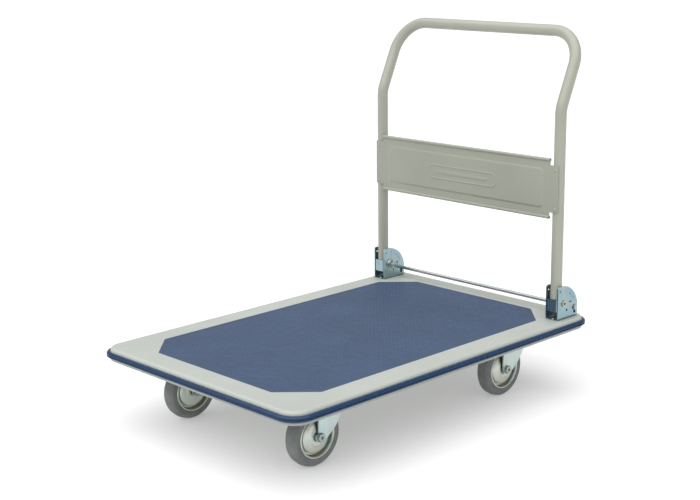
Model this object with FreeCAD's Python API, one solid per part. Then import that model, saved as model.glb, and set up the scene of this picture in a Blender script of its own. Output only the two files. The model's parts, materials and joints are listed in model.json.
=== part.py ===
import FreeCAD, Part
import math
import os

# Folding platform cart, in millimetres.
# Origin: on the floor below the middle of the deck.
# +X points to the handle end, +Y to the user's right hand, +Z up.
# "left" is the -Y side and "right" the +Y side, as seen by someone who stands at the handle.

Vec = FreeCAD.Vector
SIDES = {"left": -1, "right": 1}

# ---------------------------------------------------------------- driving dimensions
# Deck tray: pressed sheet with rolled shoulders, a shallow recess for the mat and a return flange
SHEET = 1.6
DECK_HALF_X = 447.0
DECK_HALF_Y = 297.0
DECK_CORNER_R = 38.0
DECK_TOP = 167.5
DECK_LOW = 141.0
DECK_SHOULDER_R = 7.5
DECK_FLANGE = 12.0
RECESS_DEPTH = 2.0
RECESS_GAP = 0.5

# Mat: flat sheet with cut corners
MAT_HALF_X = 393.5
MAT_HALF_Y = 242.0
MAT_CORNER_CUT = 67.0
MAT_THICKNESS = 2.5
MAT_VERTEX_R = 9.0
MAT_EDGE_BEVEL = 1.4

# Bumper strip round the deck wall
BUMPER_PROUD = 8.0
BUMPER_LOW = 147.5
BUMPER_HEIGHT = 12.0
BUMPER_NOSE_R = 4.5

# Hat rails and cross braces below the deck
RAIL_Y = 191.0
RAIL_HALF_LENGTH = 405.0
RAIL_HALF_WEB = 45.0
HAT_FLANGE = 12.0
HAT_LOW = 150.0
BRACE_X = 150.0
BRACE_HALF_WEB = 20.0

# Wheels
WHEEL_R = 62.5
WHEEL_HALF_WIDTH = 16.0
TYRE_SEAT_R = 45.0
TYRE_BEAD_BEVEL_R = 4.0
TYRE_BEAD_BEVEL_Y = 1.5
TYRE_SHOULDER = 5.5
TYRE_CROWN = 0.6
RIM_MOUTH_R = 40.8
RIM_FLOOR_R = 40.0
RIM_LIP_R = 44.0
RIM_LIP_Y = 15.8
RIM_WEB_HALF = 4.0
DISC_R = 35.5
DISC_HOLE_R = 9.5
DISC_SHEET = 1.2
HUB_R = 15.0
BEARING_R = 11.0

# Casters
CASTER_Y = 191.0
FRONT_AXLE_X = -304.6
REAR_AXLE_X = 263.8
CASTER_TRAIL = 35.0
FORK_HALF_GAP = 20.5
FORK_SHEET = 3.0
FORK_BEND_R = 5.0
FORK_FOOT_ANGLE = 300.0
FORK_KNEE = (31.0, 67.5)
FORK_HIP = (55.5, 98.5)
FORK_REAR_Z = 112.0
FORK_CROWN_TOP = 136.0
FORK_CROWN_HALF = 29.0
RIGID_EYE_R = 10.5
RIGID_FRONT_X = -4.5
RIGID_REAR_X = 66.0
SWIVEL_EYE_R = 12.5
SWIVEL_FRONT_X = -14.0
SWIVEL_FRONT_Z = (74.0, 96.0)
PLATE_HALF_X = 52.5
PLATE_HALF_Y = 40.0
PLATE_CORNER_R = 8.0
PLATE_THICKNESS = 3.0
PLATE_HOLE_X = 40.0
PLATE_HOLE_Y = 30.0
AXLE_R = 5.0
AXLE_FLATS = 16.0
AXLE_HEAD = 5.0
AXLE_SOCKET_R = 3.2
AXLE_SOCKET_DEPTH = 3.5
AXLE_NUT = 8.0
AXLE_TAIL = 2.0
SLEEVE_R = 7.0
KINGPIN_R = 6.0
KINGPIN_HEAD_R = 10.8
KINGPIN_HEAD = 4.7
KINGPIN_PLAY = 0.3
KINGPIN_FLATS = 18.0
KINGPIN_NUT = 8.5
KINGPIN_TAIL = 3.0
KINGPIN_WINDOW_R = 13.2
RUNNING_GAP = 0.05
BALL_R = 2.5
BALL_CIRCLE_R = 20.0
BALL_COUNT = 16
BALL_Z = 141.0
TRACK_HALF_WIDTH = 6.0
TRACK_LIP = 1.2
TRACK_PLAY = 0.3

# Handle: one bent tube
TUBE_R = 12.7
TUBE_WALL = 1.6
LEG_X = 367.0
LEG_Y = 265.0
LEG_LOW = 187.0
LEG_BEND_Z = 633.5
LEAN_DEG = 24.4
LEAN_LENGTH = 175.3
LEAN_BEND_R = 61.0
CORNER_R = 75.0
PLUG_FLANGE = 2.0
PLUG_SPIGOT = 11.0

# Back panel between the legs
PANEL_SHEET = 1.2
PANEL_HALF_Y = 252.0
PANEL_TAB_Y = 273.0
PANEL_LOW = 394.0
PANEL_HIGH = 528.0
PANEL_ROLL_R = 3.6
PANEL_TAB_LOW = 408.5
PANEL_TAB_HIGH = 513.0
PANEL_TAB_CORNER_R = 3.0
FIELD_HALF_Y = 234.0
FIELD_LOW = 415.0
FIELD_HIGH = 506.0
FIELD_CORNER_R = 9.0
FIELD_PROUD = 2.5
RIB_Z = 459.5
RIB_HALF_LENGTH = 104.0
RIB_HALF_HEIGHT = 17.0
RIB_WIDTH = 4.0
RIB_PROUD = 1.5
BAR_HALF_LENGTH = 76.0
BAR_HALF_HEIGHT = 4.5
RIVET_Z = (415.5, 501.5)
RIVET_R = 2.4
RIVET_LENGTH = 7.5
RIVET_HEAD_R = 3.8
RIVET_HEAD = 1.6

# Hinge brackets
CHEEK_INSIDE = 14.7
CHEEK_SHEET = 2.0
CHEEK_FRONT_X = 352.5
CHEEK_REAR_X = 424.0
CHEEK_ARC_X = 367.0
CHEEK_ARC_Z = 185.7
CHEEK_ARC_R = 58.5
CHEEK_CORNER = 2.0
BASE_BEND_R = 4.0
BACK_STOP_TOP = 182.0
BEAD_R = 49.5
BEAD_HALF_WIDTH = 1.6
BEAD_PROUD = 0.7
BEAD_X = (378.0, 409.0)
BEAD_LOW = 206.0
BEAD_HIGH = 245.0
PEEP_HOLE = (385.0, 187.5)
PEEP_HOLE_R = 2.8
UPPER_SLOT_X = (358.0, 364.0)
UPPER_SLOT_Z = (232.0, 234.5)
STOP_SLOT_X = (392.0, 402.5)
STOP_SLOT_Z = (203.5, 206.0)
STUD_PLACE = (402.0, 203.5)
STUD_R = 3.6
STUD_HEIGHT = 2.2
HINGE_BOLT_X = (360.0, 397.5)
BACKING_X = (343.0, 427.0)
BACKING_HALF_Y = 15.0
BACKING_SHEET = 3.0

# Pivot pins
PIVOT_X = 374.0
PIVOT_Z = 204.0
PIVOT_R = 4.0
PIVOT_HEAD_R = 10.5
PIVOT_HEAD = 5.0
PIVOT_WASHER_R = 12.5
PIVOT_WASHER = 1.5
PIVOT_RING_R = 7.5
PIVOT_RING = 2.6
PIVOT_SOCKET_R = 2.9
PIVOT_SOCKET_DEPTH = 6.0

# Latch collars
COLLAR_SHEET = 1.6
COLLAR_TOP = 215.0
COLLAR_BEND_R = 2.6
COLLAR_EAR_R = 36.0
COLLAR_EAR_HIGH_DEG = 45.0
COLLAR_STEP_X = (12.0, 17.0)
COLLAR_STEP_Z = 6.0

# Release rod
ROD_X = 414.0
ROD_Z = 188.5
ROD_R = 4.0
ROD_TRAVEL = 10.0
ROD_SLOT_PLAY = 0.3
ROD_RING_R = 6.2
ROD_RING = 2.0
ROD_SIDE_PLAY = 0.8
ROD_END = 1.3
SPRING_WIRE_R = 0.5
SPRING_COIL_R = 4.3
SPRING_TURNS = 3
SPRING_SEAT = 0.05

# Screws and bolts
BOLT_M6_R = 3.0
BOLT_M6_HEAD_R = 5.5
BOLT_M6_HEAD = 2.6
BOLT_M6_FLATS = 10.0
BOLT_M6_NUT = 4.0
BOLT_M6_WASHER_R = 6.5
BOLT_M6_WASHER = 1.0
BOLT_M6_TAIL = 2.0
BOLT_M8_R = 4.0
BOLT_M8_HEAD = 5.3
BOLT_M8_FLATS = 13.0
BOLT_M8_NUT = 6.5
BOLT_M8_TAIL = 2.0

# How far cutting shapes reach past what they cut
PAST = 1.0

DECK_UNDER = DECK_TOP - SHEET
RECESS_FLOOR = DECK_TOP - RECESS_DEPTH
RECESS_UNDER = RECESS_FLOOR - SHEET
MAT_TOP = RECESS_FLOOR + MAT_THICKNESS
HAT_WEB_TOP = HAT_LOW + SHEET
PLATE_LOW = HAT_LOW - PLATE_THICKNESS
BASE_TOP = DECK_TOP + CHEEK_SHEET
CHEEK_OUTSIDE = CHEEK_INSIDE + CHEEK_SHEET
CHEEK_TOP = CHEEK_ARC_Z + CHEEK_ARC_R
COLLAR_OUTSIDE = TUBE_R + COLLAR_SHEET
ROD_HALF_LENGTH = LEG_Y + CHEEK_OUTSIDE + ROD_SIDE_PLAY + ROD_RING + ROD_END
FORK_OUTSIDE = FORK_HALF_GAP + FORK_SHEET
SWIVEL_X = REAR_AXLE_X + CASTER_TRAIL
CROWN_UNDER = FORK_CROWN_TOP - FORK_SHEET
PANEL_BACK = LEG_X - TUBE_R
PANEL_FRONT = PANEL_BACK - PANEL_SHEET


# ---------------------------------------------------------------- shape helpers
def box(x_low, x_high, y_low, y_high, z_low, z_high):
    """Block between two corners."""
    return Part.makeBox(x_high - x_low, y_high - y_low, z_high - z_low, Vec(x_low, y_low, z_low))


def rod(radius, start, end):
    """Solid cylinder between two points."""
    along = end - start
    return Part.makeCylinder(radius, along.Length, start, along)


def ring(outer_r, inner_r, start, end):
    """Tube between two points."""
    return rod(outer_r, start, end).cut(rod(inner_r, start, end))


def polygon(points):
    """Closed flat wire through the points."""
    return Part.makePolygon(list(points) + [points[0]])


def rounded_slab(half_x, half_y, corner_r, z_low, z_high):
    """Slab centred on the Z axis with rounded vertical corners."""
    slab = box(-half_x, half_x, -half_y, half_y, z_low, z_high)
    upright = [e for e in slab.Edges if e.BoundBox.ZLength > 0.5 * (z_high - z_low)]
    return slab.makeFillet(corner_r, upright)


def edges_at_z(shape, z):
    """Edges that lie in the plane at height z."""
    return [e for e in shape.Edges if abs(e.BoundBox.ZMin - z) < 1e-4 and abs(e.BoundBox.ZMax - z) < 1e-4]


def revolved_y(points):
    """Ring from a closed outline of (radius, y) points, turned about the Y axis."""
    face = Part.Face(polygon([Vec(r, y, 0) for r, y in points]))
    return face.revolve(Vec(0, 0, 0), Vec(0, 1, 0), 360)


def hexagon(across_flats, start, end):
    """Hexagonal prism between two points."""
    along = end - start
    corner_r = across_flats / math.sqrt(3)
    corners = []
    for k in range(6):
        angle = math.radians(60 * k)
        corners.append(Vec(corner_r * math.cos(angle), corner_r * math.sin(angle), 0))
    solid = Part.Face(polygon(corners)).extrude(Vec(0, 0, along.Length))
    solid.Placement = FreeCAD.Placement(start, FreeCAD.Rotation(Vec(0, 0, 1), along))
    return solid


def dome(radius, height, base, direction):
    """Round rivet or bolt head with a flat back, standing on base."""
    sphere_r = (radius**2 + height**2) / (2 * height)
    direction = Vec(direction).normalize()
    centre = base - direction * (sphere_r - height)
    ball = Part.makeSphere(sphere_r, centre)
    return ball.common(Part.makeCylinder(radius + 1, height + 1, base, direction))


def joined(shapes):
    """One solid from touching or overlapping shapes."""
    whole = shapes[0].multiFuse(shapes[1:])
    return whole.removeSplitter()


def moved(shape, x=0.0, y=0.0, z=0.0):
    """Copy of a shape, shifted."""
    copy = shape.copy()
    copy.translate(Vec(x, y, z))
    return copy


def save(node, shapes):
    """Write one node's solids to its STEP file."""
    solids = []
    for shape in shapes:
        solids.extend(shape.Solids)
    body = solids[0] if len(solids) == 1 else Part.makeCompound(solids)
    for solid in solids:
        if not solid.isValid():
            print("invalid solid in", node)
    body.exportStep("parts/" + node + ".step")
    print(node, len(solids), round(body.Volume))


# ---------------------------------------------------------------- deck
def octagon(grow, z_low, z_high):
    """Slab with the mat's outline, grown by a margin, with cut and slightly rounded corners."""
    half_x = MAT_HALF_X + grow
    half_y = MAT_HALF_Y + grow
    cut = MAT_CORNER_CUT + grow * (2 - math.sqrt(2))
    quarter = [(half_x, half_y - cut), (half_x - cut, half_y)]
    corners = []
    for sign_x, sign_y in ((1, 1), (-1, 1), (-1, -1), (1, -1)):
        pair = quarter if sign_x * sign_y > 0 else quarter[::-1]
        corners.extend(Vec(sign_x * x, sign_y * y, z_low) for x, y in pair)
    slab = Part.Face(polygon(corners)).extrude(Vec(0, 0, z_high - z_low))
    upright = [e for e in slab.Edges if e.BoundBox.ZLength > 0.5 * (z_high - z_low)]
    return slab.makeFillet(MAT_VERTEX_R + grow, upright)


def deck_tray():
    """Pressed tray, open below, with the mat recess and holes for the hinge bolts."""
    outside = rounded_slab(DECK_HALF_X, DECK_HALF_Y, DECK_CORNER_R, DECK_LOW, DECK_TOP)
    outside = outside.makeFillet(DECK_SHOULDER_R, edges_at_z(outside, DECK_TOP))
    inner_x = DECK_HALF_X - SHEET
    inner_y = DECK_HALF_Y - SHEET
    inside = rounded_slab(inner_x, inner_y, DECK_CORNER_R - SHEET, DECK_LOW - PAST, DECK_UNDER)
    inside = inside.makeFillet(DECK_SHOULDER_R - SHEET, edges_at_z(inside, DECK_UNDER))
    inside = inside.cut(octagon(RECESS_GAP + SHEET, RECESS_UNDER, DECK_UNDER + PAST))
    flange_r = DECK_CORNER_R - SHEET
    flange = rounded_slab(inner_x, inner_y, flange_r, DECK_LOW, DECK_LOW + SHEET)
    opening_x = DECK_HALF_X - DECK_FLANGE
    opening_y = DECK_HALF_Y - DECK_FLANGE
    opening_r = DECK_CORNER_R - DECK_FLANGE
    opening_top = DECK_LOW + SHEET + PAST
    opening = rounded_slab(opening_x, opening_y, opening_r, DECK_LOW - PAST, opening_top)
    tray = joined([outside.cut(inside), flange.cut(opening)])
    tray = tray.cut(octagon(RECESS_GAP, RECESS_FLOOR, DECK_TOP + PAST))
    for side in SIDES.values():
        for x in HINGE_BOLT_X:
            y = side * LEG_Y
            tray = tray.cut(rod(BOLT_M6_R, Vec(x, y, DECK_UNDER - PAST), Vec(x, y, DECK_TOP + PAST)))
    return tray


def deck_mat():
    """Sheet with cut corners and a bevelled top edge, in the deck's recess."""
    sheet = octagon(0, RECESS_FLOOR, MAT_TOP)
    return sheet.makeChamfer(MAT_EDGE_BEVEL, edges_at_z(sheet, MAT_TOP))


def edge_bumper():
    """Strip with a rounded nose round the deck wall."""
    top = BUMPER_LOW + BUMPER_HEIGHT
    half_x = DECK_HALF_X + BUMPER_PROUD
    half_y = DECK_HALF_Y + BUMPER_PROUD
    strip = rounded_slab(half_x, half_y, DECK_CORNER_R + BUMPER_PROUD, BUMPER_LOW, top)
    strip = strip.makeFillet(BUMPER_NOSE_R, edges_at_z(strip, BUMPER_LOW) + edges_at_z(strip, top))
    wall = rounded_slab(DECK_HALF_X, DECK_HALF_Y, DECK_CORNER_R, BUMPER_LOW - PAST, top + PAST)
    return strip.cut(wall)


def hat_outline(half_web):
    """Hat section, open above: (across, z) points."""
    wing = half_web + HAT_FLANGE
    wing_low = RECESS_UNDER - SHEET
    inner = half_web - SHEET
    right = [(half_web, HAT_LOW), (half_web, wing_low), (wing, wing_low), (wing, RECESS_UNDER)]
    right += [(inner, RECESS_UNDER), (inner, HAT_WEB_TOP)]
    left = [(-across, z) for across, z in reversed(right)]
    return right + left


def deck_rails():
    """Two long hat rails with the caster bolt holes and the kingpin windows."""
    rails = []
    for side in SIDES.values():
        outline = [Vec(-RAIL_HALF_LENGTH, side * RAIL_Y + y, z) for y, z in hat_outline(RAIL_HALF_WEB)]
        rail = Part.Face(polygon(outline)).extrude(Vec(2 * RAIL_HALF_LENGTH, 0, 0))
        for x, y in caster_bolt_places(side):
            rail = rail.cut(rod(BOLT_M8_R, Vec(x, y, HAT_LOW - PAST), Vec(x, y, HAT_WEB_TOP + PAST)))
        y = side * CASTER_Y
        low = Vec(SWIVEL_X, y, HAT_LOW - PAST)
        high = Vec(SWIVEL_X, y, HAT_WEB_TOP + PAST)
        rail = rail.cut(rod(KINGPIN_WINDOW_R, low, high))
        rails.append(rail)
    return rails


def deck_braces():
    """Two hat braces between the rails."""
    braces = []
    half_length = RAIL_Y - RAIL_HALF_WEB - HAT_FLANGE
    for x in (-BRACE_X, BRACE_X):
        outline = [Vec(x + across, -half_length, z) for across, z in hat_outline(BRACE_HALF_WEB)]
        braces.append(Part.Face(polygon(outline)).extrude(Vec(0, 2 * half_length, 0)))
    return braces


# ---------------------------------------------------------------- casters
def caster_bolt_places(side):
    """Bolt positions of both casters on one side."""
    places = []
    for axle_x in (FRONT_AXLE_X, REAR_AXLE_X):
        for step_x in (-1, 1):
            for step_y in (-1, 1):
                x = axle_x + CASTER_TRAIL + step_x * PLATE_HOLE_X
                places.append((x, side * CASTER_Y + step_y * PLATE_HOLE_Y))
    return places


def mounting_plate():
    """Caster plate, centred on the Z axis, with four bolt holes."""
    plate = rounded_slab(PLATE_HALF_X, PLATE_HALF_Y, PLATE_CORNER_R, PLATE_LOW, HAT_LOW)
    for x in (-PLATE_HOLE_X, PLATE_HOLE_X):
        for y in (-PLATE_HOLE_Y, PLATE_HOLE_Y):
            plate = plate.cut(rod(BOLT_M8_R, Vec(x, y, PLATE_LOW - PAST), Vec(x, y, HAT_LOW + PAST)))
    return plate


def ball_track(z_low, z_high, groove_r):
    """Raised ring with a round groove for the balls, about the Z axis."""
    outer_r = BALL_CIRCLE_R + TRACK_HALF_WIDTH
    inner_r = BALL_CIRCLE_R - TRACK_HALF_WIDTH
    track = ring(outer_r, inner_r, Vec(0, 0, z_low), Vec(0, 0, z_high))
    groove = Part.makeTorus(BALL_CIRCLE_R, groove_r, Vec(0, 0, BALL_Z))
    return track.cut(groove)


def swivel_plate(side):
    """Plate and upper ball track of a swivel caster."""
    track = ball_track(BALL_Z + TRACK_LIP, PLATE_LOW, BALL_R + TRACK_PLAY)
    plate = joined([mounting_plate(), track])
    bore = rod(KINGPIN_R + RUNNING_GAP, Vec(0, 0, PLATE_LOW - PAST), Vec(0, 0, HAT_LOW + PAST))
    return moved(plate.cut(bore), SWIVEL_X, side * CASTER_Y)


def on_circle(centre_x, centre_z, radius, degrees):
    """Point on a circle in the XZ plane."""
    angle = math.radians(degrees)
    return Vec(centre_x + radius * math.cos(angle), 0, centre_z + radius * math.sin(angle))


def fork_side(eye_r, front_edge, crown):
    """Side outline of a fork leg in the XZ plane, from the axle at x = 0.

    front_edge lists points from the crown down to the eye; crown lists the two top corners.
    """
    last = front_edge[-1]
    start_deg = math.degrees(math.atan2(last[1] - WHEEL_R, last[0])) % 360
    middle_deg = 0.5 * (start_deg + FORK_FOOT_ANGLE)
    start = Vec(last[0], 0, last[1])
    foot = on_circle(0, WHEEL_R, eye_r, FORK_FOOT_ANGLE)
    knee = Vec(FORK_KNEE[0], 0, FORK_KNEE[1])
    hip = Vec(FORK_HIP[0], 0, FORK_HIP[1])
    edges = [Part.Arc(start, on_circle(0, WHEEL_R, eye_r, middle_deg), foot).toShape()]
    edges.append(Part.Arc(foot, knee, hip).toShape())
    corners = [hip] + [Vec(x, 0, z) for x, z in list(crown) + list(front_edge)]
    for first, second in zip(corners, corners[1:]):
        edges.append(Part.LineSegment(first, second).toShape())
    return Part.Face(Part.Wire(edges))


def fork_channel(outline, crown_z):
    """Bent sheet fork: an upturned U cut to the side outline, with axle holes."""
    x_low = SWIVEL_FRONT_X - PAST
    x_high = RIGID_REAR_X + PAST
    core_top = crown_z - FORK_SHEET
    block = box(x_low, x_high, -FORK_OUTSIDE, FORK_OUTSIDE, 0, crown_z)
    block = block.makeFillet(FORK_BEND_R, [e for e in edges_at_z(block, crown_z) if e.BoundBox.YLength < 1])
    core = box(x_low - PAST, x_high + PAST, -FORK_HALF_GAP, FORK_HALF_GAP, -PAST, core_top)
    core_r = FORK_BEND_R - FORK_SHEET
    core = core.makeFillet(core_r, [e for e in edges_at_z(core, core_top) if e.BoundBox.YLength < 1])
    side = moved(outline, y=-FORK_OUTSIDE).extrude(Vec(0, 2 * FORK_OUTSIDE, 0))
    fork = block.cut(core).common(side)
    reach = FORK_OUTSIDE + PAST
    return fork.cut(rod(AXLE_R, Vec(0, -reach, WHEEL_R), Vec(0, reach, WHEEL_R)))


def swivel_fork(side):
    """Fork with a pressed lower ball track and the kingpin hole."""
    crown = [(CASTER_TRAIL + FORK_CROWN_HALF, FORK_REAR_Z), (CASTER_TRAIL + FORK_CROWN_HALF, FORK_CROWN_TOP)]
    shoulder_x = CASTER_TRAIL - FORK_CROWN_HALF
    front = [(shoulder_x, FORK_CROWN_TOP), (shoulder_x, FORK_CROWN_TOP - 3 * FORK_SHEET)]
    front += [(SWIVEL_FRONT_X, SWIVEL_FRONT_Z[1]), (SWIVEL_FRONT_X, SWIVEL_FRONT_Z[0])]
    front += [(-SWIVEL_EYE_R, WHEEL_R)]
    fork = fork_channel(fork_side(SWIVEL_EYE_R, front, crown), FORK_CROWN_TOP)
    track = ball_track(FORK_CROWN_TOP, BALL_Z - TRACK_LIP, BALL_R + RUNNING_GAP)
    fork = joined([fork, moved(track, CASTER_TRAIL)])
    low = Vec(CASTER_TRAIL, 0, CROWN_UNDER - PAST)
    hole = rod(KINGPIN_R, low, Vec(CASTER_TRAIL, 0, FORK_CROWN_TOP + PAST))
    return moved(fork.cut(hole), REAR_AXLE_X, side * CASTER_Y)


def rigid_fork(side):
    """Fork pressed in one piece with its mounting plate."""
    crown_z = PLATE_LOW + 0.5 * PLATE_THICKNESS
    eye_rise = math.sqrt(RIGID_EYE_R**2 - RIGID_FRONT_X**2)
    crown = [(RIGID_REAR_X, FORK_REAR_Z), (RIGID_REAR_X, crown_z)]
    front = [(RIGID_FRONT_X, crown_z), (RIGID_FRONT_X, WHEEL_R + eye_rise)]
    fork = fork_channel(fork_side(RIGID_EYE_R, front, crown), crown_z)
    plate = moved(mounting_plate(), CASTER_TRAIL)
    return moved(joined([fork, plate]), FRONT_AXLE_X, side * CASTER_Y)


def swivel_balls(side):
    """Ring of balls between the two tracks."""
    balls = []
    for k in range(BALL_COUNT):
        angle = 2 * math.pi * k / BALL_COUNT
        x = SWIVEL_X + BALL_CIRCLE_R * math.cos(angle)
        y = side * CASTER_Y + BALL_CIRCLE_R * math.sin(angle)
        balls.append(Part.makeSphere(BALL_R, Vec(x, y, BALL_Z)))
    return balls


def kingpin(side):
    """Pin with a low head above the plate, and its nut below the crown."""
    y = side * CASTER_Y
    head_low = HAT_LOW + KINGPIN_PLAY
    nut_low = CROWN_UNDER - KINGPIN_NUT
    tail = nut_low - KINGPIN_TAIL
    shaft = rod(KINGPIN_R, Vec(SWIVEL_X, y, tail), Vec(SWIVEL_X, y, head_low))
    head = rod(KINGPIN_HEAD_R, Vec(SWIVEL_X, y, head_low), Vec(SWIVEL_X, y, head_low + KINGPIN_HEAD))
    nut = hexagon(KINGPIN_FLATS, Vec(SWIVEL_X, y, nut_low), Vec(SWIVEL_X, y, CROWN_UNDER))
    bore = rod(KINGPIN_R, Vec(SWIVEL_X, y, tail), Vec(SWIVEL_X, y, CROWN_UNDER + PAST))
    return [joined([shaft, head]), nut.cut(bore)]


def axle_bolt(axle_x, side):
    """Socket-headed axle bolt through the fork, with its nut on the inner side."""
    head_end = FORK_OUTSIDE + AXLE_HEAD
    nut_end = FORK_OUTSIDE + AXLE_NUT
    head = hexagon(AXLE_FLATS, Vec(0, FORK_OUTSIDE, 0), Vec(0, head_end, 0))
    head = head.cut(rod(AXLE_SOCKET_R, Vec(0, head_end - AXLE_SOCKET_DEPTH, 0), Vec(0, head_end + PAST, 0)))
    shaft = rod(AXLE_R, Vec(0, -nut_end - AXLE_TAIL, 0), Vec(0, FORK_OUTSIDE, 0))
    nut = hexagon(AXLE_FLATS, Vec(0, -nut_end, 0), Vec(0, -FORK_OUTSIDE, 0))
    nut = nut.cut(rod(AXLE_R, Vec(0, -nut_end - PAST, 0), Vec(0, PAST - FORK_OUTSIDE, 0)))
    pieces = [joined([shaft, head]), nut]
    if side < 0:
        pieces = [piece.mirror(Vec(0, 0, 0), Vec(0, 1, 0)) for piece in pieces]
    return [at_wheel(piece, axle_x, side) for piece in pieces]


def axle_sleeve(axle_x, side):
    """Spacer sleeve clamped between the fork legs, on which the wheel runs."""
    sleeve = ring(SLEEVE_R, AXLE_R, Vec(0, -FORK_HALF_GAP, 0), Vec(0, FORK_HALF_GAP, 0))
    return at_wheel(sleeve, axle_x, side)


def at_wheel(shape, axle_x, side):
    """Shape made about the Y axis, moved to its wheel."""
    return moved(shape, axle_x, side * CASTER_Y, WHEEL_R)


def tyre():
    """Crowned tread with rounded shoulders and flat side walls."""
    half = WHEEL_HALF_WIDTH
    wall_r = WHEEL_R - TYRE_SHOULDER
    shoulder_r = WHEEL_R - TYRE_CROWN
    bevel_r = TYRE_SEAT_R + TYRE_BEAD_BEVEL_R
    bead = half - TYRE_BEAD_BEVEL_Y
    tread = half - TYRE_SHOULDER
    round_r = wall_r + 0.7 * TYRE_SHOULDER
    round_y = half - 0.3 * TYRE_SHOULDER
    edges = [
        Part.LineSegment(Vec(TYRE_SEAT_R, -bead, 0), Vec(bevel_r, -half, 0)).toShape(),
        Part.LineSegment(Vec(bevel_r, -half, 0), Vec(wall_r, -half, 0)).toShape(),
        Part.Arc(Vec(wall_r, -half, 0), Vec(round_r, -round_y, 0), Vec(shoulder_r, -tread, 0)).toShape(),
        Part.Arc(Vec(shoulder_r, -tread, 0), Vec(WHEEL_R, 0, 0), Vec(shoulder_r, tread, 0)).toShape(),
        Part.Arc(Vec(shoulder_r, tread, 0), Vec(round_r, round_y, 0), Vec(wall_r, half, 0)).toShape(),
        Part.LineSegment(Vec(wall_r, half, 0), Vec(bevel_r, half, 0)).toShape(),
        Part.LineSegment(Vec(bevel_r, half, 0), Vec(TYRE_SEAT_R, bead, 0)).toShape(),
        Part.LineSegment(Vec(TYRE_SEAT_R, bead, 0), Vec(TYRE_SEAT_R, -bead, 0)).toShape(),
    ]
    return Part.Face(Part.Wire(edges)).revolve(Vec(0, 0, 0), Vec(0, 1, 0), 360)


def wheel_rim():
    """Rim barrel with rolled lips, flat web and hub boss."""
    half_y = WHEEL_HALF_WIDTH
    bead = half_y - TYRE_BEAD_BEVEL_Y
    half = [(BEARING_R, half_y), (HUB_R, half_y), (HUB_R, RIM_WEB_HALF), (RIM_FLOOR_R, RIM_WEB_HALF)]
    half += [(RIM_MOUTH_R, bead - 1.5), (RIM_LIP_R - 1.7, RIM_LIP_Y - 0.4), (RIM_LIP_R, RIM_LIP_Y)]
    half += [(TYRE_SEAT_R, bead)]
    mirrored = [(r, -y) for r, y in reversed(half)]
    return revolved_y(half + mirrored)


def hub_discs():
    """Domed cover disc on each side of the web."""
    skirt_r = DISC_R - DISC_SHEET
    outside = [(DISC_R, RIM_WEB_HALF), (DISC_R, 10.0), (DISC_R - 1.0, 11.6), (28.0, 14.6), (18.0, 16.8)]
    outside += [(DISC_HOLE_R, 17.6)]
    inside = [(DISC_HOLE_R, 16.4), (HUB_R, 16.0), (17.6, 15.6), (27.4, 13.5), (skirt_r - 0.8, 10.8)]
    inside += [(skirt_r, 9.6), (skirt_r, RIM_WEB_HALF)]
    disc = revolved_y(outside + inside)
    return [disc, disc.mirror(Vec(0, 0, 0), Vec(0, 1, 0))]


def wheel_bearing():
    """Roller bearing sleeve pressed into the hub, running on the axle sleeve."""
    inner_r = SLEEVE_R + RUNNING_GAP
    return ring(BEARING_R, inner_r, Vec(0, -WHEEL_HALF_WIDTH, 0), Vec(0, WHEEL_HALF_WIDTH, 0))


def caster_fasteners():
    """Bolts with their heads inside the rails, and their nuts below the plates."""
    bolts = []
    nuts = []
    nut_low = PLATE_LOW - BOLT_M8_NUT
    for side in SIDES.values():
        for x, y in caster_bolt_places(side):
            tail = Vec(x, y, nut_low - BOLT_M8_TAIL)
            seat = Vec(x, y, HAT_WEB_TOP)
            head = hexagon(BOLT_M8_FLATS, seat, Vec(x, y, HAT_WEB_TOP + BOLT_M8_HEAD))
            bolts.append(joined([rod(BOLT_M8_R, tail, seat), head]))
            nut = hexagon(BOLT_M8_FLATS, Vec(x, y, nut_low), Vec(x, y, PLATE_LOW))
            nuts.append(nut.cut(rod(BOLT_M8_R, tail, seat)))
    return bolts, nuts


# ---------------------------------------------------------------- hinge brackets
def cheek_outline():
    """Side outline of a bracket cheek in the XZ plane: square front, round back."""
    rear_rise = math.sqrt(CHEEK_ARC_R**2 - (CHEEK_REAR_X - CHEEK_ARC_X) ** 2)
    arc_top = Vec(CHEEK_ARC_X, 0, CHEEK_TOP)
    arc_end = Vec(CHEEK_REAR_X, 0, CHEEK_ARC_Z + rear_rise)
    corners = [arc_end, Vec(CHEEK_REAR_X, 0, DECK_TOP), Vec(CHEEK_FRONT_X, 0, DECK_TOP)]
    corners += [Vec(CHEEK_FRONT_X, 0, CHEEK_TOP - CHEEK_CORNER)]
    corners += [Vec(CHEEK_FRONT_X + CHEEK_CORNER, 0, CHEEK_TOP), arc_top]
    edges = [Part.Arc(arc_top, on_circle(CHEEK_ARC_X, CHEEK_ARC_Z, CHEEK_ARC_R, 50), arc_end).toShape()]
    for first, second in zip(corners, corners[1:]):
        edges.append(Part.LineSegment(first, second).toShape())
    return Part.Face(Part.Wire(edges))


def rod_slot():
    """Upright slot for the release rod, through both cheeks."""
    reach = CHEEK_OUTSIDE + PAST
    gap = ROD_R + RUNNING_GAP
    top = ROD_Z + ROD_SLOT_PLAY
    low = ROD_Z - ROD_TRAVEL - ROD_SLOT_PLAY
    upper = rod(gap, Vec(ROD_X, -reach, top), Vec(ROD_X, reach, top))
    lower = rod(gap, Vec(ROD_X, -reach, low), Vec(ROD_X, reach, low))
    return joined([upper, lower, box(ROD_X - gap, ROD_X + gap, -reach, reach, low, top)])


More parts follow.
